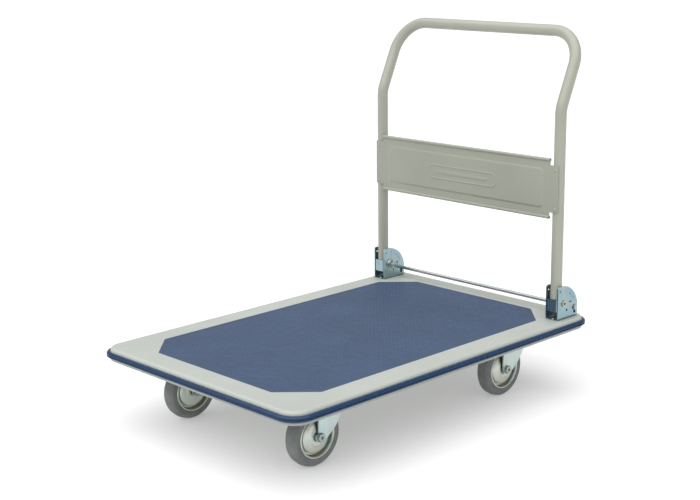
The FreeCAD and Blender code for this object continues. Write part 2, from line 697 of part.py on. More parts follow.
def cheek_beads():
    """Raised bead along the round back of each cheek, outside only."""
    reach = CHEEK_OUTSIDE + BEAD_PROUD
    start = Vec(CHEEK_ARC_X, -reach, CHEEK_ARC_Z)
    end = Vec(CHEEK_ARC_X, reach, CHEEK_ARC_Z)
    bead = ring(BEAD_R + BEAD_HALF_WIDTH, BEAD_R - BEAD_HALF_WIDTH, start, end)
    bead = bead.common(box(BEAD_X[0], BEAD_X[1], -reach, reach, BEAD_LOW, BEAD_HIGH))
    inside = CHEEK_OUTSIDE - 0.5 * CHEEK_SHEET
    middle = box(BEAD_X[0] - PAST, BEAD_X[1] + PAST, -inside, inside, BEAD_LOW - PAST, BEAD_HIGH + PAST)
    return bead.cut(middle).Solids


def hinge_bracket(side):
    """Bent U bracket on the deck, with a back stop, beads, stud, slots and holes."""
    outer = CHEEK_OUTSIDE
    top = CHEEK_TOP + PAST
    block = box(CHEEK_FRONT_X - PAST, CHEEK_REAR_X + PAST, -outer, outer, DECK_TOP, top)
    block = block.makeFillet(BASE_BEND_R, [e for e in edges_at_z(block, DECK_TOP) if e.BoundBox.YLength < 1])
    core_x = (CHEEK_FRONT_X - 2 * PAST, CHEEK_REAR_X + 2 * PAST)
    core = box(*core_x, -CHEEK_INSIDE, CHEEK_INSIDE, BASE_TOP, top + PAST)
    core_r = BASE_BEND_R - CHEEK_SHEET
    core = core.makeFillet(core_r, [e for e in edges_at_z(core, BASE_TOP) if e.BoundBox.YLength < 1])
    outline = moved(cheek_outline(), y=-outer).extrude(Vec(0, 2 * outer, 0))
    shell = block.cut(core).common(outline)
    stop_y = CHEEK_INSIDE + 0.5 * CHEEK_SHEET
    stop_low = DECK_TOP + 0.5 * CHEEK_SHEET
    stop = box(CHEEK_REAR_X - CHEEK_SHEET, CHEEK_REAR_X, -stop_y, stop_y, stop_low, BACK_STOP_TOP)
    stud_x, stud_z = STUD_PLACE
    stud_end = Vec(stud_x, -side * (outer + STUD_HEIGHT), stud_z)
    stud = rod(STUD_R, Vec(stud_x, -side * stop_y, stud_z), stud_end)
    bracket = joined([shell, stop, stud] + cheek_beads())
    reach = outer + PAST
    bracket = bracket.cut(rod(PIVOT_R, Vec(PIVOT_X, -reach, PIVOT_Z), Vec(PIVOT_X, reach, PIVOT_Z)))
    peep_x, peep_z = PEEP_HOLE
    bracket = bracket.cut(rod(PEEP_HOLE_R, Vec(peep_x, -reach, peep_z), Vec(peep_x, reach, peep_z)))
    bracket = bracket.cut(box(*UPPER_SLOT_X, -reach, reach, *UPPER_SLOT_Z))
    bracket = bracket.cut(box(*STOP_SLOT_X, *sorted((0, side * reach)), *STOP_SLOT_Z))
    bracket = bracket.cut(rod_slot())
    for x in HINGE_BOLT_X:
        bracket = bracket.cut(rod(BOLT_M6_R, Vec(x, 0, DECK_TOP - PAST), Vec(x, 0, BASE_TOP + PAST)))
    return moved(bracket, y=side * LEG_Y)


def hinge_fasteners():
    """Low-headed bolts through bracket, deck and backing plate, with flanged nuts."""
    bolts = []
    nuts = []
    plates = []
    plate_low = DECK_UNDER - BACKING_SHEET
    washer_low = plate_low - BOLT_M6_WASHER
    nut_low = washer_low - BOLT_M6_NUT
    for side in SIDES.values():
        y = side * LEG_Y
        plate = box(*BACKING_X, y - BACKING_HALF_Y, y + BACKING_HALF_Y, plate_low, DECK_UNDER)
        for x in HINGE_BOLT_X:
            seat = Vec(x, y, BASE_TOP)
            tail = Vec(x, y, nut_low - BOLT_M6_TAIL)
            shank = rod(BOLT_M6_R, tail, seat)
            bolts.append(joined([shank, dome(BOLT_M6_HEAD_R, BOLT_M6_HEAD, seat, Vec(0, 0, 1))]))
            nut = hexagon(BOLT_M6_FLATS, Vec(x, y, nut_low), Vec(x, y, washer_low))
            washer = rod(BOLT_M6_WASHER_R, Vec(x, y, washer_low), Vec(x, y, plate_low))
            nuts.append(joined([nut, washer]).cut(shank))
            plate = plate.cut(shank)
        plates.append(plate)
    return bolts, nuts, plates


def pivot_point(side, out):
    """Point on the pivot axis, a distance out from the middle of a leg."""
    return Vec(PIVOT_X, side * (LEG_Y + out), PIVOT_Z)


def pivot_pin(side):
    """Pivot pin with a washer and domed head on the inner cheek, hollow at its outer end."""
    end = CHEEK_OUTSIDE + PIVOT_RING
    shank = rod(PIVOT_R, pivot_point(side, -CHEEK_OUTSIDE), pivot_point(side, end))
    seat = pivot_point(side, -CHEEK_OUTSIDE - PIVOT_WASHER)
    washer = rod(PIVOT_WASHER_R, seat, pivot_point(side, -CHEEK_OUTSIDE))
    head = dome(PIVOT_HEAD_R, PIVOT_HEAD, seat, Vec(0, -side, 0))
    socket = rod(PIVOT_SOCKET_R, pivot_point(side, end - PIVOT_SOCKET_DEPTH), pivot_point(side, end + PAST))
    return joined([shank, washer, head]).cut(socket)


def pivot_ring(side):
    """Low retaining ring on the outer end of a pivot pin."""
    seat = pivot_point(side, CHEEK_OUTSIDE)
    return ring(PIVOT_RING_R, PIVOT_R, seat, pivot_point(side, CHEEK_OUTSIDE + PIVOT_RING))


# ---------------------------------------------------------------- handle
def handle_path():
    """Centre line: leg, forward bend, lean, corner, and the crossbar between."""
    lean = math.radians(LEAN_DEG)
    lean_dir = Vec(math.sin(lean), 0, math.cos(lean))
    setback = LEAN_BEND_R * math.tan(lean / 2)
    knee = Vec(LEG_X, LEG_Y, LEG_BEND_Z)
    corner = knee + lean_dir * LEAN_LENGTH
    bend_low = knee - Vec(0, 0, setback)
    bend_high = knee + lean_dir * setback
    bend_centre = bend_low + Vec(LEAN_BEND_R, 0, 0)
    bisect = knee - bend_centre
    bend_mid = bend_centre + bisect.normalize() * LEAN_BEND_R
    corner_low = corner - lean_dir * CORNER_R
    corner_high = corner - Vec(0, CORNER_R, 0)
    corner_centre = corner_low - Vec(0, CORNER_R, 0)
    outward = corner - corner_centre
    corner_mid = corner_centre + outward.normalize() * CORNER_R
    half = [
        [Vec(LEG_X, LEG_Y, LEG_LOW), bend_low],
        [bend_low, bend_mid, bend_high],
        [bend_high, corner_low],
        [corner_low, corner_mid, corner_high],
    ]
    edges = [path_edge(points) for points in half]
    edges.append(path_edge([corner_high, across(corner_high)]))
    edges += [path_edge([across(p) for p in reversed(points)]) for points in reversed(half)]
    return Part.Wire(edges)


def across(point):
    """The same point on the other side of the cart."""
    return Vec(point.x, -point.y, point.z)


def path_edge(points):
    """Straight edge through two points, or round edge through three."""
    if len(points) == 2:
        return Part.LineSegment(*points).toShape()
    return Part.Arc(*points).toShape()


def handle_tube():
    """Bent tube with pivot holes and rivet holes."""
    path = handle_path()
    solids = []
    for radius in (TUBE_R, TUBE_R - TUBE_WALL):
        circle = Part.makeCircle(radius, Vec(LEG_X, LEG_Y, LEG_LOW), Vec(0, 0, 1))
        solids.append(path.makePipeShell([Part.Wire([circle])], True, True))
    tube = Part.Solid(solids[0]).cut(Part.Solid(solids[1]))
    reach = TUBE_R + PAST
    for side in SIDES.values():
        tube = tube.cut(rod(PIVOT_R + RUNNING_GAP, pivot_point(side, -reach), pivot_point(side, reach)))
        for z in RIVET_Z:
            tube = tube.cut(rivet_shank(side, z))
    return tube


def collar_outline():
    """Side outline of a latch collar: web in front of the leg and an ear behind the pivot."""
    low_deg = math.degrees(math.asin((LEG_LOW - PIVOT_Z) / COLLAR_EAR_R))
    start = on_circle(PIVOT_X, PIVOT_Z, COLLAR_EAR_R, low_deg)
    middle = on_circle(PIVOT_X, PIVOT_Z, COLLAR_EAR_R, 0.5 * (low_deg + COLLAR_EAR_HIGH_DEG))
    end = on_circle(PIVOT_X, PIVOT_Z, COLLAR_EAR_R, COLLAR_EAR_HIGH_DEG)
    front_x = LEG_X - COLLAR_OUTSIDE
    corners = [end, Vec(LEG_X + COLLAR_STEP_X[1], 0, COLLAR_TOP + COLLAR_STEP_Z)]
    corners += [Vec(LEG_X + COLLAR_STEP_X[0], 0, COLLAR_TOP), Vec(front_x, 0, COLLAR_TOP)]
    corners += [Vec(front_x, 0, LEG_LOW), start]
    edges = [Part.Arc(start, middle, end).toShape()]
    for first, second in zip(corners, corners[1:]):
        edges.append(Part.LineSegment(first, second).toShape())
    return Part.Face(Part.Wire(edges))


def upright_channel_block(half_y, front_x, bend_r, z_low):
    """Block behind front_x with its two front upright edges rounded."""
    rear_x = PIVOT_X + COLLAR_EAR_R + PAST
    block = box(front_x, rear_x, -half_y, half_y, z_low, CHEEK_TOP)
    front = [e for e in block.Edges if e.BoundBox.ZLength > 1 and e.BoundBox.XMax < front_x + 0.1]
    return block.makeFillet(bend_r, front)


def latch_collar(side):
    """U channel round the front of a leg, whose ears carry the pivot and the latch face."""
    low = LEG_LOW - PAST
    solid = upright_channel_block(COLLAR_OUTSIDE, LEG_X - COLLAR_OUTSIDE, COLLAR_BEND_R, low)
    void = upright_channel_block(TUBE_R, LEG_X - TUBE_R, COLLAR_BEND_R - COLLAR_SHEET, low)
    outline = moved(collar_outline(), y=-COLLAR_OUTSIDE).extrude(Vec(0, 2 * COLLAR_OUTSIDE, 0))
    collar = moved(solid.cut(void).common(outline), y=side * LEG_Y)
    reach = COLLAR_OUTSIDE + PAST
    collar = collar.cut(rod(PIVOT_R + RUNNING_GAP, pivot_point(side, -reach), pivot_point(side, reach)))
    return collar.removeSplitter()


def tube_end_plugs():
    """Moulded plug in the open end of each leg."""
    plugs = []
    for side in SIDES.values():
        y = side * LEG_Y
        end = Vec(LEG_X, y, LEG_LOW)
        flange = rod(TUBE_R, Vec(LEG_X, y, LEG_LOW - PLUG_FLANGE), end)
        spigot = rod(TUBE_R - TUBE_WALL, end, Vec(LEG_X, y, LEG_LOW + PLUG_SPIGOT))
        plugs.append(joined([flange, spigot]))
    return plugs


# ---------------------------------------------------------------- back panel
def rounded_plate(x_low, x_high, half_y, z_low, z_high, corner_r):
    """Upright plate with rounded corners."""
    plate = box(x_low, x_high, -half_y, half_y, z_low, z_high)
    along = [e for e in plate.Edges if e.BoundBox.XLength > 0.5 * (x_high - x_low)]
    return plate.makeFillet(corner_r, along)


def stadium(half_length, half_height, x_low, x_high, z):
    """Oblong with round ends, standing on the panel."""
    straight = half_length - half_height
    middle = box(x_low, x_high, -straight, straight, z - half_height, z + half_height)
    ends = [rod(half_height, Vec(x_low, y, z), Vec(x_high, y, z)) for y in (-straight, straight)]
    return joined([middle] + ends)


def back_panel():
    """Pressed sheet with rolled edges, end tabs, a raised field and an oblong rib."""
    face = PANEL_FRONT - FIELD_PROUD
    roll_x = PANEL_FRONT + 0.5 * PANEL_SHEET
    roll_z = (PANEL_LOW + PANEL_ROLL_R, PANEL_HIGH - PANEL_ROLL_R)
    sheet = box(PANEL_FRONT, PANEL_BACK, -PANEL_HALF_Y, PANEL_HALF_Y, *roll_z)
    tab_z = (PANEL_TAB_LOW, PANEL_TAB_HIGH)
    tabs = rounded_plate(PANEL_FRONT, PANEL_BACK, PANEL_TAB_Y, *tab_z, PANEL_TAB_CORNER_R)
    field = rounded_plate(face, PANEL_BACK, FIELD_HALF_Y, FIELD_LOW, FIELD_HIGH, FIELD_CORNER_R)
    hollow_y = FIELD_HALF_Y - PANEL_SHEET
    hollow = rounded_plate(face + PANEL_SHEET, PANEL_BACK + PAST, hollow_y, FIELD_LOW + PANEL_SHEET,
                           FIELD_HIGH - PANEL_SHEET, FIELD_CORNER_R - PANEL_SHEET)
    rolls = [rod(PANEL_ROLL_R, Vec(roll_x, -PANEL_HALF_Y, z), Vec(roll_x, PANEL_HALF_Y, z)) for z in roll_z]
    panel = joined([sheet, tabs, field] + rolls).cut(hollow)
    bore_r = PANEL_ROLL_R - PANEL_SHEET
    reach = PANEL_HALF_Y + PAST
    for z in roll_z:
        panel = panel.cut(rod(bore_r, Vec(roll_x, -reach, z), Vec(roll_x, reach, z)))
    rib_x = face - RIB_PROUD
    rib_back = face + 0.5 * PANEL_SHEET
    rib = stadium(RIB_HALF_LENGTH, RIB_HALF_HEIGHT, rib_x, rib_back, RIB_Z)
    inner_length = RIB_HALF_LENGTH - RIB_WIDTH
    inner_height = RIB_HALF_HEIGHT - RIB_WIDTH
    rib = rib.cut(stadium(inner_length, inner_height, rib_x - PAST, rib_back + PAST, RIB_Z))
    bar = stadium(BAR_HALF_LENGTH, BAR_HALF_HEIGHT, rib_x, rib_back, RIB_Z)
    panel = joined([panel, rib, bar])
    for side in SIDES.values():
        for z in RIVET_Z:
            panel = panel.cut(rivet_shank(side, z))
    return panel


def rivet_shank(side, z):
    """Shank of one panel rivet, from the panel's face into the leg."""
    return rod(RIVET_R, Vec(PANEL_FRONT, side * LEG_Y, z), Vec(PANEL_FRONT + RIVET_LENGTH, side * LEG_Y, z))


def panel_rivets():
    """Domed rivets through the panel tabs into the legs."""
    rivets = []
    for side in SIDES.values():
        for z in RIVET_Z:
            head = dome(RIVET_HEAD_R, RIVET_HEAD, Vec(PANEL_FRONT, side * LEG_Y, z), Vec(-1, 0, 0))
            rivets.append(joined([rivet_shank(side, z), head]))
    return rivets


# ---------------------------------------------------------------- release rod
def release_rod():
    """Straight bar that the foot presses, across both brackets."""
    return rod(ROD_R, Vec(ROD_X, -ROD_HALF_LENGTH, ROD_Z), Vec(ROD_X, ROD_HALF_LENGTH, ROD_Z))


def rod_rings():
    """Push-on ring near each end of the rod, outside the brackets."""
    start = LEG_Y + CHEEK_OUTSIDE + ROD_SIDE_PLAY
    end = start + ROD_RING
    return [ring(ROD_RING_R, ROD_R, Vec(ROD_X, side * start, ROD_Z), Vec(ROD_X, side * end, ROD_Z))
            for side in SIDES.values()]


def release_spring(side):
    """Coil spring that lifts the rod, standing on the bracket base."""
    low = BASE_TOP + SPRING_WIRE_R + SPRING_SEAT
    height = ROD_Z - ROD_R - SPRING_WIRE_R - SPRING_SEAT - low
    helix = Part.makeHelix(height / SPRING_TURNS, height, SPRING_COIL_R)
    section = Part.makeCircle(SPRING_WIRE_R, Vec(SPRING_COIL_R, 0, 0), Vec(0, 1, 0))
    spring = Part.Wire(helix.Edges).makePipeShell([Part.Wire([section])], True, True)
    return moved(Part.Solid(spring), ROD_X, side * LEG_Y, low)


# ---------------------------------------------------------------- write the nodes
def main():
    os.makedirs("parts", exist_ok=True)
    sides = SIDES.values()
    save("deck_tray", [deck_tray()])
    save("deck_mat", [deck_mat()])
    save("edge_bumper", [edge_bumper()])
    save("deck_rails", deck_rails())
    save("deck_braces", deck_braces())
    bolts, nuts, plates = hinge_fasteners()
    save("hinge_bolts", bolts)
    save("hinge_nuts", nuts)
    save("hinge_backing_plates", plates)
    save("pivot_pins", [pivot_pin(side) for side in sides])
    save("pivot_rings", [pivot_ring(side) for side in sides])
    bolts, nuts = caster_fasteners()
    save("caster_bolts", bolts)
    save("caster_nuts", nuts)
    save("handle_tube", [handle_tube()])
    save("tube_end_plugs", tube_end_plugs())
    save("back_panel", [back_panel()])
    save("panel_rivets", panel_rivets())
    save("release_rod", [release_rod()])
    save("rod_rings", rod_rings())
    front_bolts = []
    front_sleeves = []
    for name, side in SIDES.items():
        save("hinge_bracket_" + name, [hinge_bracket(side)])
        save("latch_collar_" + name, [latch_collar(side)])
        save("release_spring_" + name, [release_spring(side)])
        save("rigid_fork_" + name, [rigid_fork(side)])
        save("swivel_plate_" + name, [swivel_plate(side)])
        save("swivel_fork_" + name, [swivel_fork(side)])
        save("swivel_balls_" + name, swivel_balls(side))
        save("kingpin_" + name, kingpin(side))
        save("rear_axle_bolt_" + name, axle_bolt(REAR_AXLE_X, side))
        save("rear_axle_sleeve_" + name, [axle_sleeve(REAR_AXLE_X, side)])
        front_bolts.extend(axle_bolt(FRONT_AXLE_X, side))
        front_sleeves.append(axle_sleeve(FRONT_AXLE_X, side))
        for end, axle_x in (("front", FRONT_AXLE_X), ("rear", REAR_AXLE_X)):
            wheel = "_" + end + "_" + name
            save("tyre" + wheel, [at_wheel(tyre(), axle_x, side)])
            save("wheel_rim" + wheel, [at_wheel(wheel_rim(), axle_x, side)])
            save("hub_discs" + wheel, [at_wheel(disc, axle_x, side) for disc in hub_discs()])
            save("wheel_bearing" + wheel, [at_wheel(wheel_bearing(), axle_x, side)])
    save("front_axle_bolts", front_bolts)
    save("front_axle_sleeves", front_sleeves)


main()
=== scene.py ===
import json
import math

import bmesh
import bpy
import numpy as np
from mathutils import Matrix, Vector


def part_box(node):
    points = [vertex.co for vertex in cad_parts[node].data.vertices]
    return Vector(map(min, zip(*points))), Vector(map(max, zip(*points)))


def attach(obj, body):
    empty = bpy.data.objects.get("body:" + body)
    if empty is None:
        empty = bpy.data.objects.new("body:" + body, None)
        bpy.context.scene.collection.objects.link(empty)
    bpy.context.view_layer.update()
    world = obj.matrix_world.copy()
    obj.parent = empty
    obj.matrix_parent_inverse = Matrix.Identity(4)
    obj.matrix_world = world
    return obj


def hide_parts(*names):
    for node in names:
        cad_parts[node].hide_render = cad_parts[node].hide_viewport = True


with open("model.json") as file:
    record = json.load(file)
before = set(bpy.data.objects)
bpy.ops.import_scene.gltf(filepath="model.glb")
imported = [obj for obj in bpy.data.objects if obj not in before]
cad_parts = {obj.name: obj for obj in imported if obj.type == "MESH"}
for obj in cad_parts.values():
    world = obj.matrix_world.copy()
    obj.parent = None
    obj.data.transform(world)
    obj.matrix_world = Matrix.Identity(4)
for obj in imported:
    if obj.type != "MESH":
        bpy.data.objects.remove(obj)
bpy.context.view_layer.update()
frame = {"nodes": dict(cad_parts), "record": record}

MM = 0.001
SIDES = ("left", "right")
ENDS = ("front", "rear")

# Camera: azimuth 0 looks along +Y, elevation above the horizon, both in degrees
CAMERA_PLACE = (-1.97524, -1.99746, 1.01855)
CAMERA_AZIMUTH = -44.54
CAMERA_ELEVATION = 13.48
CAMERA_ROLL = -0.546
CAMERA_LENS_MM = 69.44


# ---------------------------------------------------------------- outlines
def rounded(points, radii, steps=6):
    """Closed outline with each corner turned into an arc of its own radius."""
    outline = []
    count = len(points)
    for i, (corner, radius) in enumerate(zip(points, radii)):
        here = Vector(corner)
        if radius <= 0:
            outline.append(tuple(here))
            continue
        back = (Vector(points[i - 1]) - here).normalized()
        ahead = (Vector(points[(i + 1) % count]) - here).normalized()
        half_angle = 0.5 * back.angle(ahead)
        reach = radius / math.tan(half_angle)
        centre = here + (back + ahead).normalized() * (radius / math.sin(half_angle))
        start = here + back * reach - centre
        end = here + ahead * reach - centre
        turn = start.angle_signed(end)
        for k in range(steps + 1):
            arm = start.copy()
            arm.rotate(Matrix.Rotation(-turn * k / steps, 2))
            outline.append(tuple(centre + arm))
    return outline


def smooth_step(low, high, value):
    """0 below low, 1 above high, and a soft S between them."""
    t = np.clip((value - low) / (high - low), 0, 1)
    return t * t * (3 - 2 * t)


def box_distance(u, v, half_u, half_v, corner_r):
    """Signed distance to a rectangle with rounded corners, negative inside."""
    across = np.abs(u) - (half_u - corner_r)
    along = np.abs(v) - (half_v - corner_r)
    outside = np.hypot(np.maximum(across, 0), np.maximum(along, 0))
    return outside + np.minimum(np.maximum(across, along), 0) - corner_r


# ---------------------------------------------------------------- meshes
def add_mesh(name, points, faces, material, sharp_deg=35):
    """New object from points and faces, smooth apart from edges sharper than sharp_deg."""
    mesh = bpy.data.meshes.new(name)
    mesh.from_pydata([tuple(p) for p in points], [], faces)
    mesh.validate()
    mesh.shade_smooth()
    mesh.set_sharp_from_angle(angle=math.radians(sharp_deg))
    mesh.materials.append(material)
    piece = bpy.data.objects.new(name, mesh)
    bpy.context.scene.collection.objects.link(piece)
    return piece


def place(piece, body, slot, *nodes):
    """The piece rides on a body and stands for CAD nodes, which it hides; slot is not used."""
    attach(piece, body)
    if nodes:
        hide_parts(*nodes)
    return piece


def closed_strip_faces(rings, count, closed_rings=True):
    """Quads between rings of count points each."""
    faces = []
    last = rings if closed_rings else rings - 1
    for i in range(last):
        for j in range(count):
            a = i * count + j
            b = i * count + (j + 1) % count
            c = ((i + 1) % rings) * count + (j + 1) % count
            d = ((i + 1) % rings) * count + j
            faces.append((a, b, c, d))
    return faces


def lathe(name, outline, centre, material, segments=96):
    """Ring from a closed outline of (radius, y) in millimetres, turned about a wheel's axle."""
    points = []
    for k in range(segments):
        angle = 2 * math.pi * k / segments
        for radius, y in outline:
            x = radius * math.cos(angle)
            z = radius * math.sin(angle)
            points.append(centre + Vector((x, y, z)) * MM)
    return add_mesh(name, points, closed_strip_faces(segments, len(outline)), material)


# ---------------------------------------------------------------- materials
def new_material(name, colour, metallic, roughness):
    """Principled material and its node tree, with object coordinates at hand."""
    material = bpy.data.materials.new(name)
    material.use_nodes = True
    tree = material.node_tree
    shader = tree.nodes["Principled BSDF"]
    shader.inputs["Base Color"].default_value = (*colour, 1)
    shader.inputs["Metallic"].default_value = metallic
    shader.inputs["Roughness"].default_value = roughness
    place_node = tree.nodes.new("ShaderNodeTexCoord")
    return material, tree, shader, place_node.outputs["Object"]


def stretched(tree, place_socket, scale):
    """Object coordinates stretched along the axes, for grain that runs one way."""
    mapping = tree.nodes.new("ShaderNodeMapping")
    mapping.inputs["Scale"].default_value = scale
    tree.links.new(place_socket, mapping.inputs["Vector"])
    return mapping.outputs["Vector"]


def noise(tree, place_socket, scale, detail=3.0, roughness=0.5):
    """Noise value between 0 and 1."""
    node = tree.nodes.new("ShaderNodeTexNoise")
    node.inputs["Scale"].default_value = scale
    node.inputs["Detail"].default_value = detail
    node.inputs["Roughness"].default_value = roughness
    tree.links.new(place_socket, node.inputs["Vector"])
    return node.outputs["Fac"]


def to_range(tree, value, low, high, from_low=0.35, from_high=0.65):
    """Value rescaled to low..high."""
    node = tree.nodes.new("ShaderNodeMapRange")
    node.inputs["From Min"].default_value = from_low
    node.inputs["From Max"].default_value = from_high
    node.inputs["To Min"].default_value = low
    node.inputs["To Max"].default_value = high
    tree.links.new(value, node.inputs["Value"])
    return node.outputs["Result"]


def colour_mix(tree, value, first, second, from_low=0.35, from_high=0.65):
    """Colour that goes from first to second as the value rises."""
    ramp = tree.nodes.new("ShaderNodeValToRGB")
    ramp.color_ramp.elements[0].position = from_low
    ramp.color_ramp.elements[0].color = (*first, 1)
    ramp.color_ramp.elements[1].position = from_high
    ramp.color_ramp.elements[1].color = (*second, 1)
    tree.links.new(value, ramp.inputs["Fac"])
    return ramp.outputs["Color"]


def relief(tree, shader, heights):
    """Bumps of (height value, distance in metres) laid over one another."""
    normal = None
    for height, distance in heights:
        bump = tree.nodes.new("ShaderNodeBump")
        bump.inputs["Strength"].default_value = 1.0
        bump.inputs["Distance"].default_value = distance
        tree.links.new(height, bump.inputs["Height"])
        if normal is not None:
            tree.links.new(normal, bump.inputs["Normal"])
        normal = bump.outputs["Normal"]
    tree.links.new(normal, shader.inputs["Normal"])


def shade(colour, factor):
    """Colour made lighter or darker."""
    return tuple(min(1.0, c * factor) for c in colour)


def painted(name, colour, roughness=0.36):
    """Baked enamel: orange peel, slight waves, faint dust and colour drift."""
    material, tree, shader, at = new_material(name, colour, 0.0, roughness)
    drift = noise(tree, at, 6, 2)
    tree.links.new(colour_mix(tree, drift, shade(colour, 0.965), shade(colour, 1.025)),
                   shader.inputs["Base Color"])
    tree.links.new(to_range(tree, noise(tree, at, 55, 4), roughness - 0.05, roughness + 0.07),
                   shader.inputs["Roughness"])
    shader.inputs["Coat Weight"].default_value = 0.08
    shader.inputs["Coat Roughness"].default_value = 0.18
    relief(tree, shader, [(noise(tree, at, 420, 2), 0.00003), (noise(tree, at, 40, 1), 0.00006)])
    return material


def plated(name, colour, warm, roughness=0.3, grain=(1, 1, 1), grain_depth=0.00003):
    """Zinc plating: colour drifts between a blue and a warm cast, with fine rolled grain."""
    material, tree, shader, at = new_material(name, colour, 1.0, roughness)
    cast = noise(tree, at, 28, 3)
    tree.links.new(colour_mix(tree, cast, colour, warm, 0.38, 0.68), shader.inputs["Base Color"])
    along = stretched(tree, at, grain)
    tree.links.new(to_range(tree, noise(tree, along, 160, 4), roughness - 0.07, roughness + 0.1),
                   shader.inputs["Roughness"])
    relief(tree, shader, [(noise(tree, along, 520, 3), grain_depth), (noise(tree, at, 60, 2), 0.00008)])
    return material


def vinyl(name, colour, roughness, pebble, specular=0.45):
    """Soft plastic sheet: fine pebbled grain, dull patches and colour drift."""
    material, tree, shader, at = new_material(name, colour, 0.0, roughness)
    drift = noise(tree, at, 9, 3)
    tree.links.new(colour_mix(tree, drift, shade(colour, 0.93), shade(colour, 1.07)),
                   shader.inputs["Base Color"])
    tree.links.new(to_range(tree, noise(tree, at, 70, 3), roughness - 0.06, roughness + 0.08),
                   shader.inputs["Roughness"])
    shader.inputs["Specular IOR Level"].default_value = specular
    relief(tree, shader, [(noise(tree, at, 900, 2), pebble), (noise(tree, at, 130, 2), 0.00003)])
    return material


def rubber(name, colour):
    """Moulded grey rubber: matt, with a fine grain and a faint bloom."""
    material, tree, shader, at = new_material(name, colour, 0.0, 0.7)
    bloom = noise(tree, at, 45, 4)
    tree.links.new(colour_mix(tree, bloom, shade(colour, 0.9), shade(colour, 1.12)),
                   shader.inputs["Base Color"])
    tree.links.new(to_range(tree, noise(tree, at, 110, 3), 0.6, 0.78), shader.inputs["Roughness"])
    relief(tree, shader, [(noise(tree, at, 800, 3), 0.00006)])
    return material


MATERIALS = {
    "deck_paint": painted("deck_paint", (0.385, 0.410, 0.380), 0.46),
    "frame_paint": painted("frame_paint", (0.34, 0.36, 0.33), 0.45),
    "tube_paint": painted("tube_paint", (0.345, 0.355, 0.295), 0.36),
    "panel_paint": painted("panel_paint", (0.310, 0.325, 0.265), 0.40),
    "mat_vinyl": vinyl("mat_vinyl", (0.033, 0.060, 0.120), 0.52, 0.00004),
    "bumper_vinyl": vinyl("bumper_vinyl", (0.006, 0.032, 0.085), 0.24, 0.00001, 0.3),
    "tyre_rubber": rubber("tyre_rubber", (0.165, 0.176, 0.172)),
    "hub_zinc": plated("hub_zinc", (0.56, 0.62, 0.58), (0.62, 0.61, 0.53), 0.36),
    "fork_zinc": plated("fork_zinc", (0.47, 0.59, 0.59), (0.53, 0.58, 0.54), 0.34, (1, 1, 0.15)),
    "bracket_zinc": plated("bracket_zinc", (0.25, 0.38, 0.43), (0.34, 0.42, 0.42), 0.28, (1, 1, 0.15)),
    "rod_zinc": plated("rod_zinc", (0.42, 0.46, 0.47), (0.47, 0.48, 0.45), 0.3, (1, 0.05, 1)),
    "fastener_zinc": plated("fastener_zinc", (0.36, 0.41, 0.42), (0.42, 0.42, 0.38), 0.3),
    "bearing_steel": plated("bearing_steel", (0.6, 0.6, 0.6), (0.55, 0.54, 0.5), 0.2),
    "dark_plastic": vinyl("dark_plastic", (0.03, 0.032, 0.034), 0.5, 0.00003),
}


def paint_cad_nodes():
    """Each CAD node that stays takes the material of its slot."""
    for part in frame["record"]["subparts"]:
        mesh = frame["nodes"][part["node"]].data
        mesh.materials.clear()
        mesh.materials.append(MATERIALS[part["material_slot"]])


# ---------------------------------------------------------------- mat
MAT_CORNER_CUT = 67.0
MAT_VERTEX_R = 9.0
MAT_LEAST_R = 2.0
MAT_BORDER_DROP = 0.2
MAT_FIELD_DROP = 0.7
PIP_PITCH = 7.9 * math.sqrt(2)
PIP_MARGIN = 12.0
PIP_FOOT = 2.9
PIP_HEAD = 1.5


def mat_half_size():
    """Half length and half width of the mat in millimetres."""
    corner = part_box("deck_mat")[1]
    return corner.x / MM, corner.y / MM


def mat_corners(inset):
    """Corners of the mat's outline, inset millimetres inside its edge."""
    mat_x, mat_y = mat_half_size()
    half_x = mat_x - inset
    half_y = mat_y - inset
    cut = MAT_CORNER_CUT - inset * (2 - math.sqrt(2))
    quarter = [(half_x, half_y - cut), (half_x - cut, half_y)]
    corners = []
    for sign_x, sign_y in ((1, 1), (-1, 1), (-1, -1), (1, -1)):
        pair = quarter if sign_x * sign_y > 0 else quarter[::-1]
        corners.extend((sign_x * x, sign_y * y) for x, y in pair)
    return corners


def mat_sheet():
    """Vinyl sheet: bevelled edge, smooth border, sunk field and diagonal rows of pips."""
    low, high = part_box("deck_mat")
    floor_z = low.z / MM
    top_z = high.z / MM
    border_z = top_z - MAT_BORDER_DROP
    field_z = top_z - MAT_FIELD_DROP
    steps = [(0.0, floor_z), (0.0, top_z - 1.5), (0.35, top_z - 0.75), (1.1, top_z - 0.3), (2.2, border_z)]
    steps += [(7.0, border_z), (7.6, field_z)]
    points = []
    for inset, z in steps:
        ring = rounded(mat_corners(inset), [max(MAT_VERTEX_R - inset, MAT_LEAST_R)] * 8, 5)
        points.extend((x, y, z) for x, y in ring)
    count = len(points) // len(steps)
    faces = closed_strip_faces(len(steps), count, closed_rings=False)
    faces.append(tuple(reversed(range(count))))
    faces.append(tuple(range((len(steps) - 1) * count, len(steps) * count)))
    for x, y in pip_places():
        add_pip(points, faces, x, y, field_z, top_z)
    piece = add_mesh("mat_sheet", [Vector(p) * MM for p in points], faces, MATERIALS["mat_vinyl"], 30)
    place(piece, "root", "mat_vinyl", "deck_mat")


